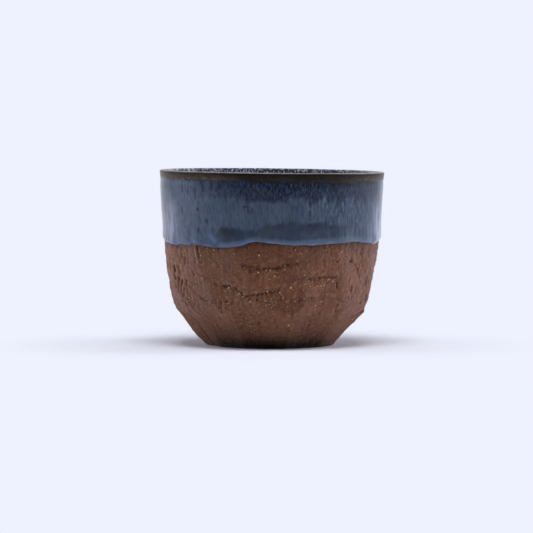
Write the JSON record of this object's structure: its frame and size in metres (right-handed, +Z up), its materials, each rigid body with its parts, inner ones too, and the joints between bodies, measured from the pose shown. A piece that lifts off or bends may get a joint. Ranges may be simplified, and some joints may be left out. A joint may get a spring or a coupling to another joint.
{
  "type": "handleless mug",
  "caption": "Handleless stoneware mug: bare brown clay cut into facets with a knife, a dipped blue glaze band above, a dark lip and a glazed inside.",
  "frame": {"origin": "middle of the foot, on the surface that the mug stands on", "axes": "+Z up through the mouth, -Y towards the pictured front, +X to the right of that front"},
  "size_m": [0.088, 0.088, 0.0691],
  "materials": {
    "stoneware": "unglazed fired clay with sandy grains, matt",
    "blue_glaze": "glossy streaked blue glaze",
    "lip_glaze": "thin dark brown glaze, satin",
    "lining_glaze": "glossy dark blue glaze with pale specks"
  },
  "bodies": {
    "root": {"stoneware_body": "stoneware", "inner_glaze_lining": "lining_glaze", "lip_glaze": "lip_glaze", "outer_glaze_band": "blue_glaze"}
  },
  "joints": []
}
